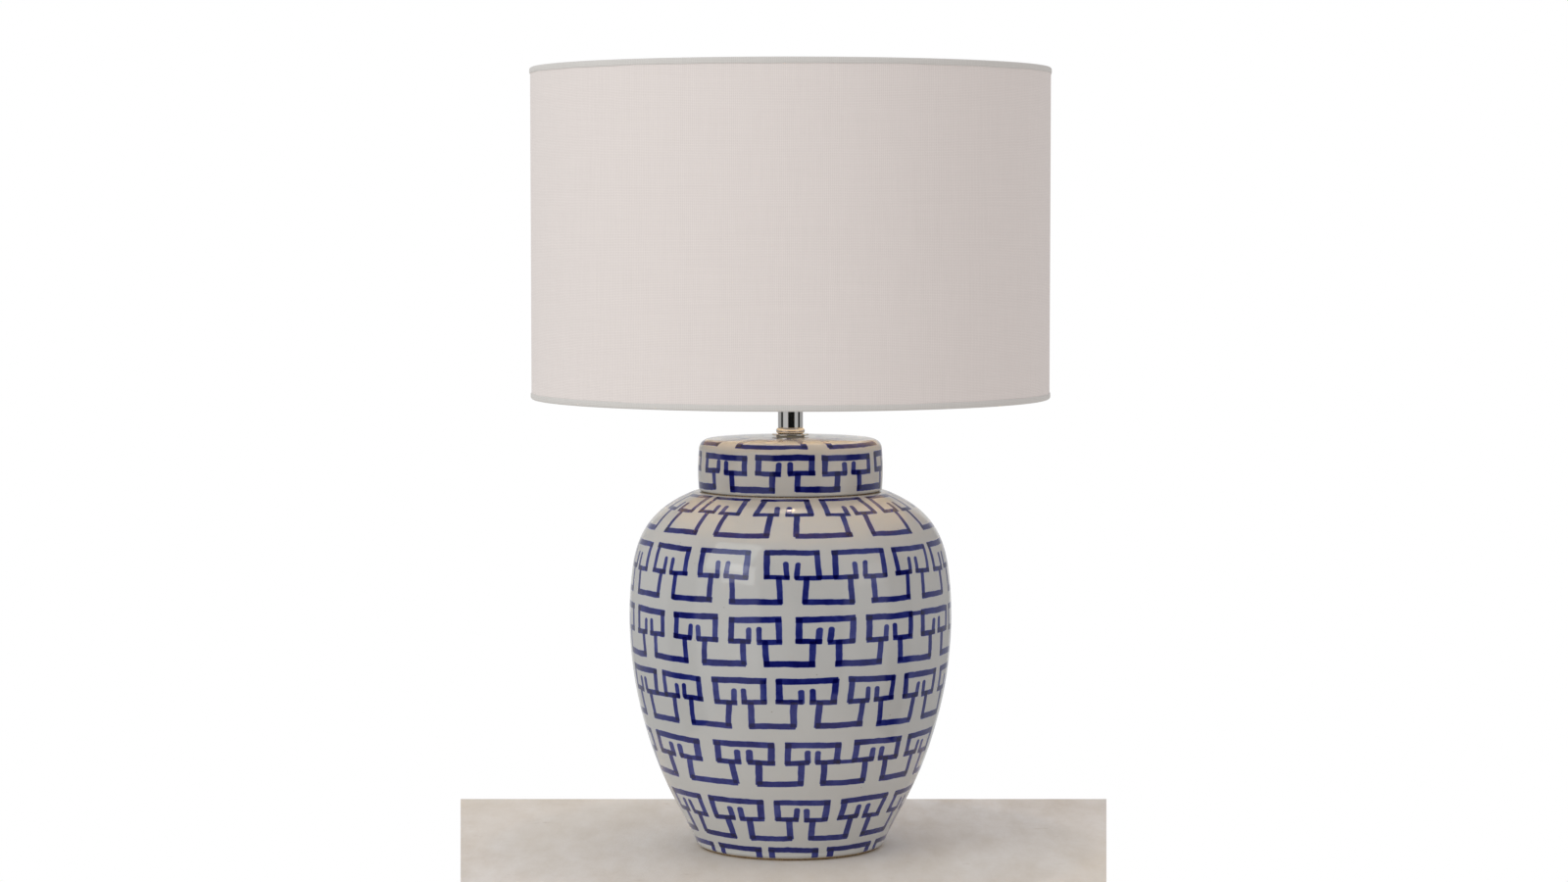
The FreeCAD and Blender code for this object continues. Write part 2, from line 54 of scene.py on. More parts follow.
class Graph:
    """Short calls that add nodes to one tree and join them."""

    def __init__(self, tree, material=None):
        self.tree = tree
        self.material = material
        self.count = 0

    def node(self, kind, **settings):
        made = self.tree.nodes.new(kind)
        self.count += 1
        made.location = (220 * (self.count % 12), -180 * (self.count // 12))
        for name, value in settings.items():
            setattr(made, name, value)
        return made

    def put(self, socket, value):
        if isinstance(value, bpy.types.NodeSocket):
            self.tree.links.new(value, socket)
        elif value is not None:
            socket.default_value = value

    def math(self, operation, a, b=None, c=None):
        made = self.node("ShaderNodeMath", operation=operation)
        for socket, value in zip(made.inputs, (a, b, c)):
            self.put(socket, value)
        return made.outputs[0]

    def plus(self, a, b):
        return self.math("ADD", a, b)

    def minus(self, a, b):
        return self.math("SUBTRACT", a, b)

    def times(self, a, b):
        return self.math("MULTIPLY", a, b)

    def times_plus(self, a, b, c):
        """a times b, plus c."""
        return self.math("MULTIPLY_ADD", a, b, c)

    def vector(self, operation, a, b=None):
        made = self.node("ShaderNodeVectorMath", operation=operation)
        for socket, value in zip(made.inputs, (a, b)):
            self.put(socket, value)
        return made.outputs["Value" if operation == "LENGTH" else "Vector"]

    def xyz(self, x, y, z=0.0):
        made = self.node("ShaderNodeCombineXYZ")
        for socket, value in zip(made.inputs, (x, y, z)):
            self.put(socket, value)
        return made.outputs[0]

    def parts(self, vector):
        made = self.node("ShaderNodeSeparateXYZ")
        self.put(made.inputs[0], vector)
        return made.outputs

    def place(self):
        return self.node("ShaderNodeTexCoord").outputs["Object"]

    def turn(self, x, y):
        """The place round the Z axis as a share of a turn: 0.25 on the left, 0.5 in front, 0.75 on the right."""
        return self.times_plus(self.math("ARCTAN2", x, self.times(y, -1.0)), 1 / TAU, 0.5)

    def noise(self, vector, scale, detail=2.0, rough=0.5, colour=False):
        made = self.node("ShaderNodeTexNoise")
        self.put(made.inputs["Vector"], vector)
        made.inputs["Scale"].default_value = scale
        made.inputs["Detail"].default_value = detail
        made.inputs["Roughness"].default_value = rough
        return made.outputs["Color" if colour else "Fac"]

    def colours(self, colour):
        made = self.node("ShaderNodeSeparateColor")
        self.put(made.inputs[0], colour)
        return made.outputs

    def white(self, vector):
        made = self.node("ShaderNodeTexWhiteNoise", noise_dimensions="3D")
        self.put(made.inputs["Vector"], vector)
        return made.outputs["Color"]

    def spots(self, vector, scale):
        made = self.node("ShaderNodeTexVoronoi")
        self.put(made.inputs["Vector"], vector)
        made.inputs["Scale"].default_value = scale
        return made.outputs["Distance"]

    def span(self, value, a, b, low=0.0, high=1.0, smooth=False):
        """The value's way from a to b, clamped, as a number from low to high."""
        made = self.node("ShaderNodeMapRange", clamp=True)
        made.interpolation_type = "SMOOTHSTEP" if smooth else "LINEAR"
        for socket, given in zip(made.inputs, (value, a, b, low, high)):
            self.put(socket, given)
        return made.outputs[0]

    def mix(self, factor, a, b, how="MIX"):
        made = self.node("ShaderNodeMix", data_type="RGBA", blend_type=how)
        self.put(made.inputs[0], factor)
        self.put(made.inputs[6], a)
        self.put(made.inputs[7], b)
        return made.outputs[2]

    def ramp(self, value, stops):
        made = self.node("ShaderNodeValToRGB")
        self.put(made.inputs[0], value)
        bar = made.color_ramp
        while len(bar.elements) < len(stops):
            bar.elements.new(1.0)
        for element, (position, colour) in zip(bar.elements, stops):
            element.position = position
            element.color = colour
        return made.outputs[0]

    def curve(self, value, points):
        """The value read off a line of straight pieces through the points."""
        made = self.node("ShaderNodeFloatCurve")
        self.put(made.inputs["Value"], value)
        low = min(p[1] for p in points)
        high = max(p[1] for p in points)
        spread = max(high - low, 1e-9)
        scaled = [(p[0], (p[1] - low) / spread) for p in points]
        made.mapping.use_clip = False
        line = made.mapping.curves[0]
        line.points[0].location = scaled[0]
        line.points[1].location = scaled[-1]
        for p in scaled[1:-1]:
            line.points.new(*p)
        for p in line.points:
            p.handle_type = "VECTOR"
        made.mapping.update()
        return self.plus(self.times(made.outputs[0], spread), low)

    def bump(self, height, distance, strength=1.0):
        made = self.node("ShaderNodeBump")
        made.inputs["Strength"].default_value = strength
        made.inputs["Distance"].default_value = distance
        self.put(made.inputs["Height"], height)
        return made.outputs[0]


def rgb(red, green, blue):
    """A screen colour, 0 to 255, as the linear colour that nodes use."""
    def linear(c):
        c = c / 255
        return c / 12.92 if c <= 0.04045 else ((c + 0.055) / 1.055) ** 2.4
    return (linear(red), linear(green), linear(blue), 1.0)


def darker(colour, share):
    return tuple(c * share for c in colour[:3]) + (1.0,)


def material(name):
    """A new material: its graph and its main shader."""
    made = bpy.data.materials.new(name)
    made.use_nodes = True
    shader = next(n for n in made.node_tree.nodes if n.type == "BSDF_PRINCIPLED")
    return Graph(made.node_tree, made), shader


def dress(names, made):
    for name in names:
        mesh = NODES[name].data
        mesh.materials.clear()
        mesh.materials.append(made)


# ---------------------------------------------------------------- camera

PICTURE = (1600, 900)                       # pixels
SENSOR = 36                                 # mm
LENS = 79.94                                # mm
CAMERA_PLACE = (-0.00436, -2.348, 0.4247)   # metres
CAMERA_TILT = 3.65                          # degrees down from level


def make_camera():
    """The camera, fitted to the lamp's edges in the photograph."""
    data = bpy.data.cameras.new("camera")
    data.sensor_width = SENSOR
    data.lens = LENS
    data.clip_start = 0.05
    made = bpy.data.objects.new("camera", data)
    made.location = CAMERA_PLACE
    made.rotation_euler = (math.pi / 2 - math.radians(CAMERA_TILT), 0, 0)
    bpy.context.scene.collection.objects.link(made)
    bpy.context.scene.camera = made
    bpy.context.view_layer.update()
    return made


def on_table(x, y):
    """The point of the table top that the picture shows at pixel x, y."""
    wide, high = PICTURE
    reach = wide * camera.data.lens / SENSOR
    ray = camera.matrix_world.to_3x3() @ Vector((x - wide / 2, high / 2 - y, -reach))
    return camera.location + ray * (-camera.location.z / ray.z)


# ---------------------------------------------------------------- mesh helpers

def new_mesh(name, points, faces, smooth=True):
    mesh = bpy.data.meshes.new(name)
    mesh.from_pydata([tuple(p) for p in points], [], faces)
    mesh.validate()
    mesh.update()
    if smooth:
        mesh.shade_smooth()
    made = bpy.data.objects.new(name, mesh)
    bpy.context.scene.collection.objects.link(made)
    return made


def grid_faces(rows, columns, closed=False):
    """Quads over a grid whose point (i, j) has the number i * columns + j, closed both ways or not at all."""
    faces = []
    for i in range(rows if closed else rows - 1):
        for j in range(columns if closed else columns - 1):
            a = i * columns + j
            b = i * columns + (j + 1) % columns
            c = ((i + 1) % rows) * columns + (j + 1) % columns
            d = ((i + 1) % rows) * columns + j
            faces.append((a, d, c, b))
    return faces


def wave(angle, parts):
    """A smooth periodic wobble: parts are (how many round, size, phase)."""
    return sum(size * math.sin(n * angle + phase) for n, size, phase in parts)


# ---------------------------------------------------------------- shade

COVER_STEPS = (760, 60)     # quads round the shade and up it
COVER_INSET = 0.25          # how far the cover's face lies inside the solid's, mm
COVER_SHORT = 0.1           # how far it ends before the solid does, mm
COVER_SWELLS = ((9, 0.06, 0.4), (23, 0.04, 2.1))    # mm
LAP = 9                     # how far the second end lies over the first, mm
LAP_LIFT = 0.45             # how far it stands out there, mm
LAP_START = 0.004           # how long before the full turn it starts to rise, radians
LAP_RISE = 0.01             # and over how much of the turn it does, radians


def make_shade_cover():
    """The woven cover: one sheet wrapped round the liner and lapped at the back."""
    low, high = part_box("shade_fabric")
    radius = high.x - COVER_INSET * MM
    bottom = low.z + COVER_SHORT * MM
    top = high.z - COVER_SHORT * MM
    lap = LAP * MM / radius
    start = math.pi / 2 - lap / 2
    around, up = COVER_STEPS
    points = []
    for i in range(around + 1):
        run = i / around * (TAU + lap)
        angle = start + run
        over = min(1.0, max(0.0, (run - (TAU - LAP_START)) / LAP_RISE))
        for j in range(up + 1):
            v = j / up
            swell = wave(angle, COVER_SWELLS) * math.sin(math.pi * v)
            r = radius + (swell + LAP_LIFT * over) * MM
            points.append((r * math.cos(angle), r * math.sin(angle), bottom + (top - bottom) * v))
    made = new_mesh("shade_cover", points, grid_faces(around + 1, up + 1))
    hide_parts("shade_fabric")
    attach(made, "shade")
    return made, (radius * (TAU + lap), top - bottom)


HEM_STEPS = 480             # sections round the shade
HEM_INSIDE = 169.7          # radius of the hem's inner face, mm
HEM_MIDDLE = 172            # a radius between its two faces, mm
HEM_TALL = 4.15             # how far it reaches over the cover, mm
HEM_SHORT = 3.0             # how far it reaches over the liner, mm
HEM_CURL = 1.5              # radius of the fold, mm
HEM_THICK = 0.34            # the tape's thickness, mm
HEM_FOLD = 0.36             # its thickness at the fold, mm


def hem_section(angle, outside):
    """The tape's closed outline at one angle: radius and distance from the shade's edge, in metres. It runs from
    the liner round the fold to the rounded end on the cover, and back on the tape's other face."""
    tall = HEM_TALL * MM + wave(angle, ((7, 0.10, 0.3), (19, 0.08, 1.7), (41, 0.05, 0.6))) * MM
    short = HEM_SHORT * MM + wave(angle, ((11, 0.08, 2.2), (29, 0.05, 0.9))) * MM
    puff = wave(angle, ((13, 0.05, 1.2), (37, 0.05, 2.6), (61, 0.03, 0.2))) * MM
    inner = HEM_INSIDE * MM
    outer = outside - 0.12 * MM + puff * 0.6
    curl = HEM_CURL * MM
    quarter = [math.radians(18 * k) for k in range(1, 6)]
    face = [(inner, short), (inner, curl)]
    face += [(inner + curl * (1 - math.cos(t)), curl * (1 - math.sin(t))) for t in quarter]
    face += [(outer - curl * (1 - math.sin(t)), curl * (1 - math.cos(t))) for t in quarter]
    face += [(outer, 0.5 * (curl + tall)), (outer, tall - 0.7 * MM),
             (outer - 0.13 * MM, tall - 0.25 * MM), (outer - 0.36 * MM, tall)]
    thick = HEM_THICK * MM
    back = [(r - thick if r > HEM_MIDDLE * MM else r + thick, max(h, HEM_FOLD * MM)) for r, h in reversed(face)]
    return face + back


def make_hem(name, node, upward):
    """A narrow tape folded over one edge of the shade; upward is 1 for the bottom edge and -1 for the top."""
    low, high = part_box(node)
    edge = low.z if upward > 0 else high.z
    points = []
    for i in range(HEM_STEPS):
        angle = TAU * i / HEM_STEPS
        section = hem_section(angle, high.x)
        points += [(r * math.cos(angle), r * math.sin(angle), edge + upward * h) for r, h in section]
    faces = grid_faces(HEM_STEPS, len(section), closed=True)
    if upward < 0:
        faces = [tuple(reversed(f)) for f in faces]
    made = new_mesh(name, points, faces)
    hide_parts(node)
    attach(made, "shade")
    return made


camera = make_camera()

cover, cut = make_shade_cover()
hem_low = make_hem("hem_bottom", "shade_hem_bottom", 1)
hem_high = make_hem("hem_top", "shade_hem_top", -1)


# ---------------------------------------------------------------- painted fret

# The motif of one repeat, from its top down: a bar across the head, a side at each end of it, two lower bars from
# the sides inward, an upright hook at the inner end of each lower bar, and two legs down to the trays. Each tray
# runs from one repeat's right leg to the next repeat's left leg.
HEAD = 0.82                     # share of one repeat that the motif's head takes; the rest is the gap
LEFT_LEG, LEFT_HOOK, RIGHT_HOOK, RIGHT_LEG = 0.283, 0.437, 0.541, 0.715     # places as shares of the head
EDGE = 0.34                     # softness of a brush stroke's edge, mm
PAINT = (0.024, 0.034, 0.30)    # what one layer of the blue lets through of red, green and blue

# One line for each band of the jar, from the shoulder down: how many repeats go round, how broad its strokes are
# against the others, the heights in mm of the top bar, the hook ends, the lower bars and the tray, and the heads
# seen from the front, in degrees.
JAR_BANDS = [
    (11, 1.0, (240.05, 235.8, 231.8, 219.2), [(-78, -51), (-47.5, -23.4), (-17, 10.4), (15.8, 42.6), (47.7, 74.5)]),
    (15, 0.97, (209, 202, 193, 177), [(-83.5, -63.5), (-59.2, -39.5), (-35.1, -14.7), (-9.4, 10.75), (15.2, 36.5),
                                      (40.5, 59.8), (62.6, 84)]),
    (15, 1.09, (166.1, 160, 151.5, 136.5), [(-93, -73.4), (-68.9, -49.4), (-44.4, -25.7), (-21.55, -3.15),
                                            (1.6, 22.85), (26.9, 47.3), (52, 73.7)]),
    (15, 1.07, (125.5, 119.4, 111.3, 95.3), [(-78, -55.9), (-52.3, -33.2), (-28.6, -8.3), (-5.2, 16.6),
                                             (20.6, 40.1), (44.5, 64.8), (68.6, 89)]),
    (13, 1.14, (82.7, 77.6, 70.3, 55.8), [(-94, -71), (-65.8, -37.9), (-31, -6.1), (-2, 19.9), (24.7, 48.3),
                                          (52.2, 74.3)]),
    (11, 1.16, (42.5, 37.4, 30, 16), [(-71, -44.8), (-40.5, -12.7), (-7.6, 18.5), (23.4, 50.2), (55.9, 81)]),
    (10, 1.1, (7.2, 1.2, -9, -22), [(-80, -51.3), (-46.4, -17), (-12.9, 16.6), (21.2, 54.2), (58.8, 88)]),
]
# Where the painter ran on over a gap: from and to in degrees, and the height in mm.
JAR_JOINS = [(9.5, 16.5, 193), (46, 53, 166.1), (-57.5, -50.5, 111.3), (18.5, 26, 70.3)]
# The lid's top comes first, with radii in place of heights and its heads turned outward, and then the band on
# its side.
LID_BANDS = [
    (6, 1.0, (59.6, 46, 35, 20), [(-97.5, -53.6), (-37, 10.5), (24.7, 72.5)]),
    (8, 1.06, (267.4, 264.0, 257.2, 246.2), [(-65.5, -27.2), (-21.8, 15.2), (19, 58.5), (63.5, 101)]),
]
BAND_SEED = 40                  # the first band's seed for the heads that aren't seen from the front

GLAZE = (rgb(175, 175, 174), rgb(181, 181, 180))
GLAZE_SMUDGE = rgb(160, 158, 155)
GLAZE_SPECK = rgb(112, 100, 88)
GLAZE_PAINTED_BOUNCE = rgb(197, 197, 195)  # painted bounce light: the glaze is lighter toward the foot
GLAZE_ROUGH = (0.04, 0.09)
CLAY = rgb(196, 178, 150)
BRUSH_LOAD = (0.84, 1.28)       # how much paint the brush leaves, least and most

# How far the brush wanders along and across the outline, in mm, slowly and quickly, and how far a whole stroke
# lies off its place. Each is spread evenly round half its size, which WANDER takes away again.
SLOW = (2.4, 2.0)
QUICK = (0.8, 0.8)
SHAKE = (0.9, 0.8)
WANDER = [0.5 * (slow + quick - shake) for slow, quick, shake in zip(SLOW, QUICK, SHAKE)]
LEAN_UPRIGHT = 0.18             # how much an upright stroke may lean, from one side to the other
LEAN_LEVEL = 0.05               # how much a level one may
SIDE_INSET = 1.85               # from the end of the head to the middle of its side, mm
HOOK_INSET = 1.65               # from the end of a lower bar to the middle of its hook, mm
TRAY_PAST = 1.8                 # how far a tray ends past the middle of its leg, mm
LONG = 100.0                    # half length of a tray, which runs on past the edge of its repeat, mm

OUTLINE_STEPS = 200             # rays that measure a pot's outline
RAY_LENGTH = 0.2                # how far out they start, metres
OFF_SEAM = 0.0004               # how far they pass beside the solid's seam, metres
OUTLINE_PICKS = 120             # points of the curve that the shader reads it from
LID_TOP_DEPTH = 6               # how far below its highest point the lid's top still counts as top, mm


def ring_of_heads(count, seen, seed):
    """The heads all the way round: those seen from the front, then evenly spaced ones with a small error."""
    rng = random.Random(seed)
    heads = sorted(seen)
    step = (heads[0][0] + 360 - heads[-1][0]) / (count - len(heads) + 1)
    last = heads[-1][0]
    for k in range(1, count - len(seen) + 1):
        left = last + (k + rng.uniform(-0.03, 0.03)) * step
        heads.append((left, left + step * (HEAD + rng.uniform(-0.03, 0.03))))
    return heads


def repeat_line(count, seen, seed):
    """Points (turn from 0 to 1, repeat number): each head starts at a whole number."""
    heads = ring_of_heads(count, seen, seed)
    points = []
    for turn in (-1, 0, 1):
        for i, (left, right) in enumerate(heads):
            number = i + count * (turn + 1)
            points.append(((left + 360 * turn + 180) / 360, number))
            points.append(((right + 360 * turn + 180) / 360, number + HEAD))
    points.sort()
    xs, ys = zip(*points)
    ends = [(x, float(np.interp(x, xs, ys))) for x in (0.0, 1.0)]
    return [ends[0]] + [p for p in points if 0.0005 < p[0] < 0.9995] + [ends[1]]


def outline(node, centre, first, last):
    """The node's outer outline, found by rays from outside toward centre, a radius and height in mm. The angles
    of the rays run from first to last, in degrees up from level. Returns the shares of that way, and for each the
    radius, the height and the length along the outline, all in mm."""
    bpy.context.view_layer.update()
    found = []
    for k in range(OUTLINE_STEPS + 1):
        turn = math.radians(first + (last - first) * k / OUTLINE_STEPS)
        out = Vector((math.cos(turn), 0, math.sin(turn)))
        start = Vector((centre[0] * MM, OFF_SEAM, centre[1] * MM)) + out * RAY_LENGTH
        hit, place, _, _ = NODES[node].ray_cast(start, -out)
        if hit:
            found.append((k / OUTLINE_STEPS, math.hypot(place.x, place.y) / MM, place.z / MM))
    share, radius, height = np.array(found).T
    length = np.concatenate([[0], np.cumsum(np.hypot(np.diff(radius), np.diff(height)))])
    return share, radius, height, length


def length_at(place, on_top, radius, height, length):
    """How far along the outline a height on the pot's side lies, or a radius on its top. A height below the
    outline's start counts down from there."""
    if on_top:
        top = height > height.max() - LID_TOP_DEPTH
        return float(np.interp(-place, -radius[top], length[top]))
    if place <= height[0]:
        return place - float(height[0])
    side = slice(0, int(np.argmax(height)) + 1)
    return float(np.interp(place, height[side], length[side]))


def band_here(g, turn, along, bands, levels):
    """The number of the band that a point lies in, the point's repeat number there, and the band's four levels,
    stroke weight and number of repeats."""
    row = 0.0
    for upper, lower in zip(levels, levels[1:]):
        row = g.plus(g.math("LESS_THAN", along, 0.5 * (min(upper) + max(lower))), row)
    repeat = 0.0
    given = [0.0] * 6
    for k, (count, weight, _, seen) in enumerate(bands):
        chosen = g.math("COMPARE", row, float(k), 0.5)
        repeat = g.times_plus(chosen, g.curve(turn, repeat_line(count, seen, BAND_SEED + k)), repeat)
        for j, value in enumerate([*levels[k], weight, count]):
            given[j] = g.times_plus(chosen, float(value), given[j])
    return row, repeat, given


def brush_bars(g, at, turn, along, radius, bands, levels):
    """The strokes of the motif, each as a depth of blue from 0 to a little over 1. turn is the place round the
    pot from 0 to 1, along the place on its outline in mm, and levels the bands' heights on that outline."""
    row, repeat, (top, hook, lower, tray, weight, count) = band_here(g, turn, along, bands, levels)
    cell = g.math("DIVIDE", g.times(radius, TAU), count)
    shifted = g.plus(repeat, (1 - HEAD) / 2)
    whole = g.math("FLOOR", shifted)
    here = g.math("MODULO", whole, count)
    before = g.math("MODULO", g.plus(g.minus(whole, 1.0), count), count)
    slow = g.colours(g.noise(at, 34.0, 1.0, colour=True))
    quick = g.colours(g.noise(at, 170.0, 2.0, colour=True))
    x, y = [g.minus(g.times_plus(quick[k], QUICK[k], g.times_plus(slow[k], SLOW[k], plain)), WANDER[k])
            for k, plain in enumerate((g.times(g.minus(shifted, whole), cell), along))]
    wide = g.times(cell, HEAD)
    start = g.times(cell, (1 - HEAD) / 2)
    stop = g.plus(start, wide)

    def across(share, shift=0.0):
        """A place on the head, as a share of its width and mm past that."""
        return g.times_plus(wide, share, g.plus(start, shift))

    def upto(a, b, more=0.0):
        """The middle and half the length of a stroke from a to b, made longer by more at each end."""
        half = g.times(g.math("ABSOLUTE", g.minus(b, a)), 0.5)
        return g.times(g.plus(a, b), 0.5), g.plus(half, more)

    def stroke(middle_x, half_x, middle_y, half_y, key, tone, number=here, upright=False, corner=0.5, lean=LEAN_LEVEL):
        """One stroke: a box with round corners, put a little off its place and turned a little by chance."""
        chance = g.colours(g.white(g.xyz(number, row, float(key))))
        dx = g.times_plus(chance[0], -SHAKE[0], g.minus(x, middle_x))
        dy = g.times_plus(chance[1], -SHAKE[1], g.minus(y, middle_y))
        if upright:
            dx = g.times_plus(g.times_plus(chance[2], LEAN_UPRIGHT, -LEAN_UPRIGHT / 2), dy, dx)
            half_x = g.times(weight, half_x)
        else:
            if lean:
                dy = g.times_plus(g.times_plus(chance[2], lean, -lean / 2), dx, dy)
            half_y = g.times(weight, half_y)
        inner = g.xyz(g.minus(half_x, corner), g.minus(half_y, corner))
        past = g.vector("SUBTRACT", g.vector("ABSOLUTE", g.xyz(dx, dy)), inner)
        far = g.vector("LENGTH", g.vector("MAXIMUM", past, (0, 0, 0)))
        inside = g.span(far, corner + EDGE, corner - EDGE, smooth=True)
        return g.times(inside, g.times_plus(chance[1], 0.3 * tone, 0.85 * tone))

    inset = g.times(weight, SIDE_INSET)
    head = g.plus(start, g.times(wide, 0.5)), g.times(wide, 0.5)
    sides = upto(lower, top, 0.9)
    hooks = upto(lower, hook, 1.0)
    legs = upto(tray, lower, 0.8)
    left_bar = upto(start, across(LEFT_HOOK))
    right_bar = upto(across(RIGHT_HOOK), stop)
    tray_right = across(RIGHT_LEG, LONG - TRAY_PAST), LONG
    tray_left = across(LEFT_LEG, TRAY_PAST - LONG), LONG
    # Each line: middle and half size across, middle and half size along, the number that chance goes by, and how
    # deep the blue is. The two halves of a tray, in neighbouring repeats, share their number.
    return [
        stroke(*head, top, 1.75, 1, 1.0),
        stroke(g.plus(start, inset), 1.9, *sides, 2, 0.8, upright=True),
        stroke(g.minus(stop, inset), 1.9, *sides, 3, 0.8, upright=True),
        stroke(*left_bar, lower, 1.5, 4, 1.0),
        stroke(*right_bar, lower, 1.5, 5, 1.0),
        stroke(across(LEFT_HOOK, -HOOK_INSET), 1.75, *hooks, 6, 0.75, upright=True, corner=1.6),
        stroke(across(RIGHT_HOOK, HOOK_INSET), 1.75, *hooks, 7, 0.75, upright=True, corner=1.6),
        stroke(across(LEFT_LEG), 1.85, *legs, 8, 0.85, upright=True),
        stroke(across(RIGHT_LEG), 1.85, *legs, 9, 0.85, upright=True),
        stroke(*tray_right, tray, 1.8, 10, 1.0, lean=0),
        stroke(*tray_left, tray, 1.8, 10, 1.0, number=before, lean=0),
    ]


def join_bar(g, turn, along, radius, first, last, level):
    """One extra stroke between two angles at one level of the outline."""
    middle = (0.5 * (first + last) + 180) / 360
    half = 0.5 * (last - first) / 360
    off = g.math("ABSOLUTE", g.minus(turn, middle))
    sideways = g.times(g.minus(off, half), g.times(radius, TAU))
    upward = g.minus(g.math("ABSOLUTE", g.minus(along, level)), 1.3)
    return g.span(g.math("MAXIMUM", sideways, upward), EDGE, -EDGE, 0.0, 0.95, smooth=True)


def glazed_pot(name, node, centre, first, last, bands, joins, flat_top, bare_below):
    """White glaze with the painted fret in it, and bare clay below a height in mm. The outline is taken from
    centre (radius and height in mm), from the first angle to the last; with flat_top the first band is on top."""
    g, s = material(name)
    at = g.place()
    px, py, pz = g.parts(at)
    turn = g.turn(px, py)
    radius = g.times(g.vector("LENGTH", g.xyz(px, py)), 1000.0)
    height = g.times(pz, 1000.0)

    share, *profile = outline(node, centre, first, last)
    length = profile[-1]
    angle = g.math("ARCTAN2", g.minus(height, centre[1]), g.minus(radius, centre[0]))
    seen_at = g.times_plus(angle, 180 / math.pi / (last - first), -first / (last - first))
    picks = np.unique(np.linspace(0, len(share) - 1, OUTLINE_PICKS).astype(int))
    along = g.curve(seen_at, [(float(share[i]), float(length[i])) for i in picks])
    levels = [[length_at(place, flat_top and k == 0, *profile) for place in band[2]] for k, band in enumerate(bands)]

    bars = brush_bars(g, at, turn, along, radius, bands, levels)
    for left, right, place in joins:
        bars.append(join_bar(g, turn, along, radius, left, right, length_at(place, False, *profile)))
    total = bars[0]
    for bar in bars[1:]:
        total = g.plus(total, bar)
    load = g.span(g.noise(at, 95.0, 3.0, 0.6), 0.3, 0.7, *BRUSH_LOAD)
    blue = g.math("DIVIDE", g.times(total, 1.25), g.times_plus(total, 0.25, 1.0))
    bare = g.span(g.times_plus(g.noise(at, 60.0), 1.2, height), bare_below + 0.9, bare_below + 0.5)
    blue = g.times(g.times(blue, load), g.minus(1.0, bare))

    white = g.mix(g.span(g.noise(at, 14.0, 3.0), 0.35, 0.65), *GLAZE)
    smudge = g.span(g.noise(at, 48.0, 5.0, 0.7), 0.66, 0.78, 0.0, 0.35)
    white = g.mix(smudge, white, GLAZE_SMUDGE)
    # Painted bounce light: the glaze is made lighter toward the foot, standing in for light from the table below.
    painted_bounce = g.span(height, 115.0, 30.0, 0.0, 0.8)
    white = g.mix(painted_bounce, white, GLAZE_PAINTED_BOUNCE)
    speck = g.span(g.spots(at, 75.0), 0.045, 0.02, 0.0, 0.5)
    white = g.mix(speck, white, GLAZE_SPECK)
    through = g.node("ShaderNodeCombineColor")
    for socket, left in zip(through.inputs, PAINT):
        g.put(socket, g.math("POWER", left, blue))
    colour = g.mix(1.0, white, through.outputs[0], how="MULTIPLY")
    g.put(s.inputs["Base Color"], g.mix(bare, colour, CLAY))

    gloss = g.span(g.noise(at, 120.0, 3.0), 0.3, 0.7, *GLAZE_ROUGH)
    g.put(s.inputs["Roughness"], g.math("MAXIMUM", gloss, g.times(bare, 0.85)))
    s.inputs["IOR"].default_value = 1.52
    peel = g.plus(g.noise(at, 55.0, 2.0), g.times(g.noise(at, 420.0, 2.0), 0.06))
    g.put(s.inputs["Normal"], g.bump(g.times_plus(blue, 0.05, peel), 0.22 * MM))
    dress([node], g.material)


glazed_pot("glazed_jar", "jar_body", (45, 130), -84, 82, JAR_BANDS, JAR_JOINS, False, 1.6)
glazed_pot("glazed_lid", "jar_lid", (40, 255), -18, 150, LID_BANDS, (), True, 241.6)


# ---------------------------------------------------------------- cork, metal, plastic and glass

ZINC = rgb(188, 188, 184)
BRASS = rgb(206, 172, 104)
NICKEL = rgb(200, 197, 190)
HOLDER_WHITE = rgb(234, 232, 226)
ROD_PITCH = 1.0             # mm
RING_PITCH = 2.4            # mm
CAP_PITCH = 3.63            # mm


def cork_finish():
    g, s = material("cork")
    at = g.place()
    grains = g.spots(at, 900.0)
    tone = g.mix(g.span(grains, 0.15, 0.7), rgb(172, 148, 110), rgb(122, 98, 68))
    tone = g.mix(g.span(g.noise(at, 1500.0, 2.0), 0.6, 0.7), tone, rgb(96, 70, 46))
    g.put(s.inputs["Base Color"], tone)
    s.inputs["Roughness"].default_value = 0.85
    g.put(s.inputs["Normal"], g.bump(grains, 0.25 * MM))
    dress(["foot_ring", "lid_gasket"], g.material)


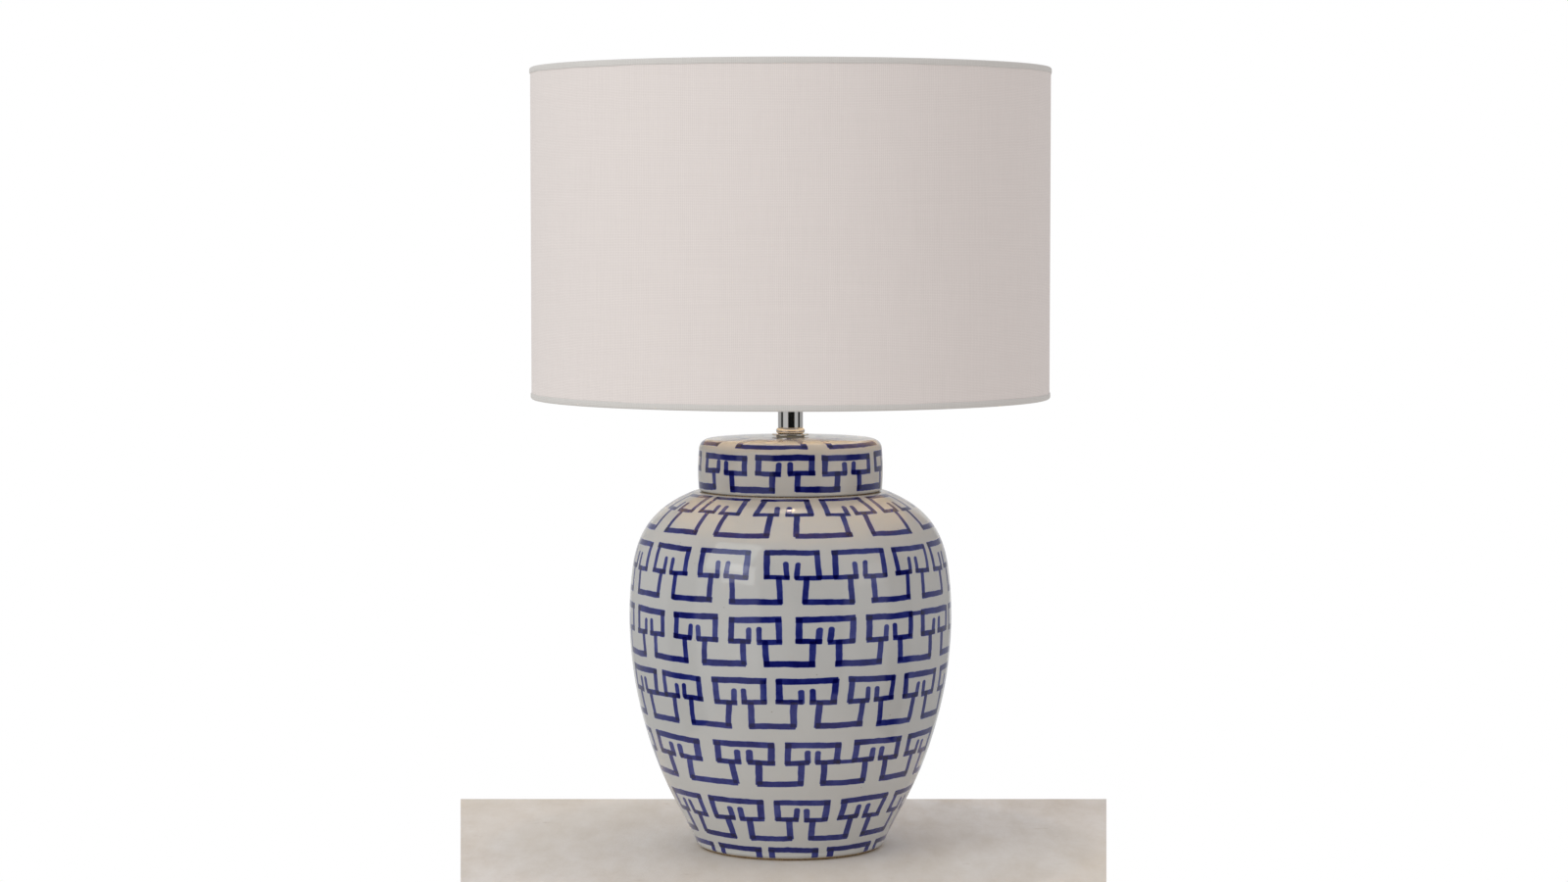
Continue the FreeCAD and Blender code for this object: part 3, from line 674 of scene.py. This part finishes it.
def hard(name, nodes, colour, rough, metal=0.0, grain=900.0, depth=0.02, drift=0.06, pitch=None, thread=0.5,
         wear=None, turned=False):
    """A hard finish: fine grain of some depth in mm and a colour that drifts by a share of itself. A pitch in mm adds
    a screw thread of the depth thread in mm, with painted shade darkening its grooves, wear a second colour in
    patches, and turned a lathe's marks."""
    g, s = material(name)
    at = g.place()
    px, py, pz = g.parts(at)
    shade = g.mix(g.noise(at, 70.0, 3.0), darker(colour, 1 - drift), colour)
    fine = g.noise(at, grain, 3.0, 0.6)
    if wear is not None:
        shade = g.mix(g.span(g.noise(at, 240.0, 5.0, 0.7), 0.56, 0.72), shade, wear)
    height = g.times(fine, depth * MM)
    if turned:
        marks = g.noise(g.xyz(0.0, 0.0, pz), 2600.0, 3.0, 0.7)
        height = g.times_plus(marks, 0.004 * MM, height)
    if pitch is not None:
        around = g.times(g.math("ARCTAN2", py, px), 1 / TAU)
        climb = g.minus(g.times(pz, 1 / (pitch * MM)), around)
        ridge = g.math("ABSOLUTE", g.minus(g.math("FRACT", climb), 0.5))
        height = g.times_plus(g.span(ridge, 0.06, 0.44, smooth=True), thread * MM, height)
        # Painted shade: the thread's grooves, which are only a bump, are made darker.
        shade = g.mix(g.span(ridge, 0.3, 0.5, 0.0, 0.35), shade, darker(colour, 0.45))
    g.put(s.inputs["Base Color"], shade)
    g.put(s.inputs["Roughness"], g.span(fine, 0.2, 0.8, rough * 0.8, rough * 1.25))
    s.inputs["Metallic"].default_value = metal
    g.put(s.inputs["Normal"], g.bump(height, 1.0))
    dress(nodes, g.material)
    return g, s


def clear_glass(name, node, colour, rough):
    """Clear glass with faint ripples. The bulb's light passes it, so it throws no shadow."""
    g, s = hard(name, [node], colour, rough, drift=0.02)
    s.inputs["Transmission Weight"].default_value = 1.0
    s.inputs["IOR"].default_value = 1.47
    g.put(s.inputs["Normal"], g.bump(g.noise(g.place(), 60.0, 2.0), 0.15 * MM))
    NODES[node].visible_shadow = False


def glowing(name, node, colour):
    """The bulb's filaments. The bulb's lamp stands among them, so they throw no shadow either."""
    _, s = hard(name, [node], colour, 0.5)
    s.inputs["Emission Color"].default_value = (1.0, 0.66, 0.30, 1.0)
    s.inputs["Emission Strength"].default_value = 8.0
    NODES[node].visible_shadow = False


cork_finish()
hard("soft_washer", ["neck_cushion"], rgb(208, 204, 190), 0.35)
hard("chrome", ["neck_disc", "neck_bead", "neck_tube", "neck_seat"], rgb(222, 220, 218), 0.07, 1.0,
     grain=300.0, depth=0.003, drift=0.03, turned=True)
hard("rubber", ["base_rubber_washer"], rgb(44, 43, 42), 0.7, depth=0.06)
hard("bush_plastic", ["cord_bush"], rgb(226, 222, 210), 0.4)
hard("zinc", ["base_steel_washer", "base_lock_washer", "base_nut", "holder_locking_screw"], ZINC, 0.32, 1.0,
     drift=0.14, turned=True)
hard("zinc_thread", ["threaded_rod"], ZINC, 0.32, 1.0, pitch=ROD_PITCH)
hard("holder_plastic", ["holder_cap", "shade_ring_lower", "shade_ring_upper"], HOLDER_WHITE, 0.32, depth=0.03)
hard("holder_thread", ["holder_skirt"], HOLDER_WHITE, 0.32, depth=0.03, pitch=RING_PITCH)
hard("ceramic", ["holder_insert"], rgb(232, 227, 214), 0.5, depth=0.05)
hard("brass", ["holder_centre_contact", "holder_rivets", "holder_terminals"], BRASS, 0.28, 1.0,
     wear=rgb(168, 132, 80))
hard("brass_thread", ["holder_screw_shell"], BRASS, 0.28, 1.0, pitch=CAP_PITCH, thread=1.0)
hard("nickel", ["holder_terminal_screws"], NICKEL, 0.25, 1.0)
hard("nickel_thread", ["bulb_cap"], NICKEL, 0.25, 1.0, pitch=CAP_PITCH, thread=1.0)
hard("frame_white", ["fitter_ring", "fitter_arm_1", "fitter_arm_2", "fitter_arm_3", "shade_wire_bottom",
                     "shade_wire_top"], rgb(234, 233, 229), 0.4, depth=0.05)
hard("lining", ["shade_liner"], rgb(228, 213, 188), 0.45, grain=400.0)
hard("black_glass", ["bulb_insulator"], rgb(30, 30, 33), 0.15)
hard("tinned", ["bulb_contact"], rgb(190, 188, 182), 0.3, 1.0, depth=0.15, grain=600.0)
clear_glass("bulb_glass", "bulb_globe", rgb(250, 250, 248), 0.02)
clear_glass("stem_glass", "bulb_stem", rgb(246, 248, 247), 0.05)
glowing("phosphor", "bulb_filaments", rgb(240, 205, 96))


# ---------------------------------------------------------------- cloth

WEAVE_RADIUS = 174.5        # where the threads' spacing is measured, mm


def woven(name, low, high, pitch_round, pitch_up, slub):
    """Plain weave: upright threads at one pitch round the shade and level threads at another up it, both in mm,
    each a little thicker or thinner. The colours are the cloth's between its threads and on them, and slub says
    how strongly single stretches of yarn stand out."""
    g, s = material(name)
    at = g.place()
    px, py, pz = g.parts(at)
    sway = g.noise(at, 45.0, 2.0)
    around = g.times_plus(sway, 1.4, g.times(g.math("ARCTAN2", py, px), WEAVE_RADIUS))
    up = g.times_plus(sway, 0.8, g.times(pz, 1000.0))
    u = g.times(around, 1 / pitch_round)
    v = g.times(up, 1 / pitch_up)
    u_number = g.math("FLOOR", u)
    v_number = g.math("FLOOR", v)
    u_ridge = g.math("SINE", g.times(g.math("FRACT", u), math.pi))
    v_ridge = g.math("SINE", g.times(g.math("FRACT", v), math.pi))
    over = g.times(g.math("SINE", g.times(u, math.pi)), g.math("SINE", g.times(v, math.pi)))
    u_high = g.times(u_ridge, g.times_plus(over, 0.35, 0.65))
    v_high = g.times(v_ridge, g.times_plus(over, -0.35, 0.65))
    cloth = g.math("MAXIMUM", u_high, v_high)
    upright = g.noise(g.xyz(g.times(u_number, 3.7), g.times(up, 0.03)), 1.0, 1.0)
    level = g.noise(g.xyz(g.times(around, 0.02), g.times(v_number, 3.7), 5.0), 1.0, 1.0)
    thread = g.times_plus(upright, 0.55, g.times(level, 0.45))
    colour = g.mix(g.times_plus(cloth, 0.75, g.span(thread, 0.25, 0.75, 0.0, 0.22)), low, high)
    dash = g.noise(g.xyz(g.times(around, 0.16), g.times(v_number, 9.1), 2.0), 1.0, 1.0)
    colour = g.mix(g.span(dash, 0.80, 0.86, 0.0, slub), colour, rgb(232, 220, 198))
    fluff = g.span(g.noise(at, 160.0, 3.0, 0.6), 0.72, 0.78, 0.0, 0.25)
    colour = g.mix(fluff, colour, rgb(214, 210, 204))
    g.put(s.inputs["Base Color"], colour)
    s.inputs["Roughness"].default_value = 0.9
    s.inputs["Sheen Weight"].default_value = 0.15
    s.inputs["Sheen Roughness"].default_value = 0.5
    s.inputs["Specular IOR Level"].default_value = 0.2
    relief = g.plus(g.times(cloth, 0.16), g.times(thread, 0.12))
    g.put(s.inputs["Normal"], g.bump(relief, 1.0 * MM, 0.7))
    return g.material


cover.data.materials.append(woven("shade_cloth", rgb(205, 197, 194), rgb(228, 220, 217), 1.3, 1.0, 0.6))
# The hems get the cover's cloth in darker colours: painted shade, for the light that doesn't come through the folded
# tape.
for hem in (hem_low, hem_high):
    hem.data.materials.append(woven("hem_cloth", rgb(187, 184, 181), rgb(211, 208, 205), 1.3, 1.1, 0.2))


# ---------------------------------------------------------------- table, light and background

TABLE_CORNERS = ((470, 815), (1129, 815), (1129, 960), (470, 960))      # in the picture, pixels
TABLE_DROP = Vector((0, 0, 0.2 * MM))       # keeps the table top off the foot's own face

# What gloss reflects level round the lamp: the share of a turn, as Graph.turn gives it, and how bright it is.
MIRROR_ROOM = [(0.0, 0.72), (0.045, 0.72), (0.06, 0.45), (0.225, 0.45), (0.236, 0.05), (0.298, 0.05), (0.308, 0.62),
               (0.434, 0.62), (0.444, 0.008), (0.602, 0.008), (0.612, 0.55), (0.70, 0.55), (0.711, 0.02),
               (0.764, 0.02), (0.774, 0.45), (0.88, 0.42), (0.94, 0.35), (0.955, 0.72), (1.0, 0.72)]
MIRROR_CEILING = (0.45, 0.45, 0.45, 1)
# What lights everything else softly.
ROOM_LEFT = (0.76, 0.77, 0.765, 1)
ROOM_MIDDLE = (0.80, 0.79, 0.78, 1)
ROOM_RIGHT = (0.52, 0.50, 0.495, 1)
ROOM_ABOVE = (0.93, 0.92, 0.92, 1)
ROOM_BELOW = (0.84, 0.82, 0.80, 1)

# Name, place, what it points at, width and height, all in metres, then watts and colour.
LAMPS = [
    ("window", (-1.35, -1.75, 0.78), (0, 0, 0.25), (1.0, 0.55), 3.0, (1.0, 0.99, 0.98)),
    ("key", (-2.1, -1.9, 2.0), (0, 0, 0.3), (2.0, 2.0), 21, (0.94, 1.0, 1.0)),
    ("side", (1.95, -1.15, 0.72), (0, 0, 0.25), (0.9, 0.55), 0.8, (1.0, 0.97, 0.96)),
]
BULB_HEIGHT = 0.413         # metres
BULB_SIZE = 0.006           # metres
BULB_WATTS = 0.48
BULB_COLOUR = (1.0, 0.81, 0.62)


def make_table():
    """The pale table. It shows only as far out as in the picture, so its side edges run along lines of sight."""
    corners = [on_table(x, y) - TABLE_DROP for x, y in TABLE_CORNERS]
    made = new_mesh("table_top", corners, [(0, 3, 2, 1)], smooth=False)
    g, s = material("table_wood")
    px, py, _ = g.parts(g.place())

    def streaks(along_x, along_y, *settings):
        return g.noise(g.xyz(g.times(px, along_x), g.times(py, along_y)), *settings)

    grain = streaks(15.0, 5.0, 1.6, 8.0, 0.7)
    clouds = streaks(3.5, 1.2, 1.0, 3.0)
    fibres = streaks(24.0, 26.0, 2.0, 4.0, 0.6)
    colour = g.mix(g.span(grain, 0.3, 0.7), rgb(198, 188, 178), rgb(224, 220, 218))
    colour = g.mix(g.span(clouds, 0.35, 0.65, 0.0, 0.6), colour, rgb(218, 208, 194))
    colour = g.mix(g.span(fibres, 0.66, 0.74, 0.0, 0.35), colour, rgb(176, 160, 142))
    g.put(s.inputs["Base Color"], colour)
    s.inputs["Roughness"].default_value = 0.7
    g.put(s.inputs["Normal"], g.bump(grain, 1.0 * MM))
    made.data.materials.append(g.material)


def make_world():
    """White to the camera and through glass, the bright and dark stripes of MIRROR_ROOM to gloss, and to
    everything else a plain pale room that is dimmer on the right."""
    world = bpy.data.worlds.new("studio")
    bpy.context.scene.world = world
    world.use_nodes = True
    g = Graph(world.node_tree)
    back = next(n for n in world.node_tree.nodes if n.type == "BACKGROUND")
    path = g.node("ShaderNodeLightPath")
    dx, dy, dz = g.parts(g.node("ShaderNodeTexCoord").outputs["Generated"])
    room = g.ramp(g.span(dx, -1.0, 1.0), [(0.0, ROOM_LEFT), (0.5, ROOM_MIDDLE), (1.0, ROOM_RIGHT)])
    room = g.mix(g.span(dz, 0.0, 1.0), room, ROOM_ABOVE)
    room = g.mix(g.span(dz, 0.0, -0.2), room, ROOM_BELOW)
    mirror = g.ramp(g.turn(dx, dy), [(share, (level, level, level, 1)) for share, level in MIRROR_ROOM])
    mirror = g.mix(g.span(dz, 0.25, 0.7), mirror, MIRROR_CEILING)
    seen = g.mix(path.outputs["Is Glossy Ray"], room, mirror)
    bright = g.math("MAXIMUM", path.outputs["Is Camera Ray"], path.outputs["Is Transmission Ray"])
    g.put(back.inputs["Color"], g.mix(bright, seen, (1, 1, 1, 1)))


def add_light(name, kind, place, power, colour):
    data = bpy.data.lights.new(name, kind)
    data.energy = power
    data.color = colour
    made = bpy.data.objects.new(name, data)
    made.location = place
    bpy.context.scene.collection.objects.link(made)
    return made


def make_lamps():
    """The studio's soft lamps, and the lamp's own bulb, lit weakly."""
    for name, place, toward, (wide, high), power, colour in LAMPS:
        made = add_light(name, "AREA", place, power, colour)
        made.data.shape = "RECTANGLE"
        made.data.size = wide
        made.data.size_y = high
        aim = Vector(toward) - Vector(place)
        made.rotation_euler = aim.to_track_quat("-Z", "Y").to_euler()
    bulb = add_light("bulb", "POINT", (0, 0, BULB_HEIGHT), BULB_WATTS, BULB_COLOUR)
    bulb.data.shadow_soft_size = BULB_SIZE


make_table()
make_world()
make_lamps()

bpy.context.scene.view_settings.view_transform = "Standard"
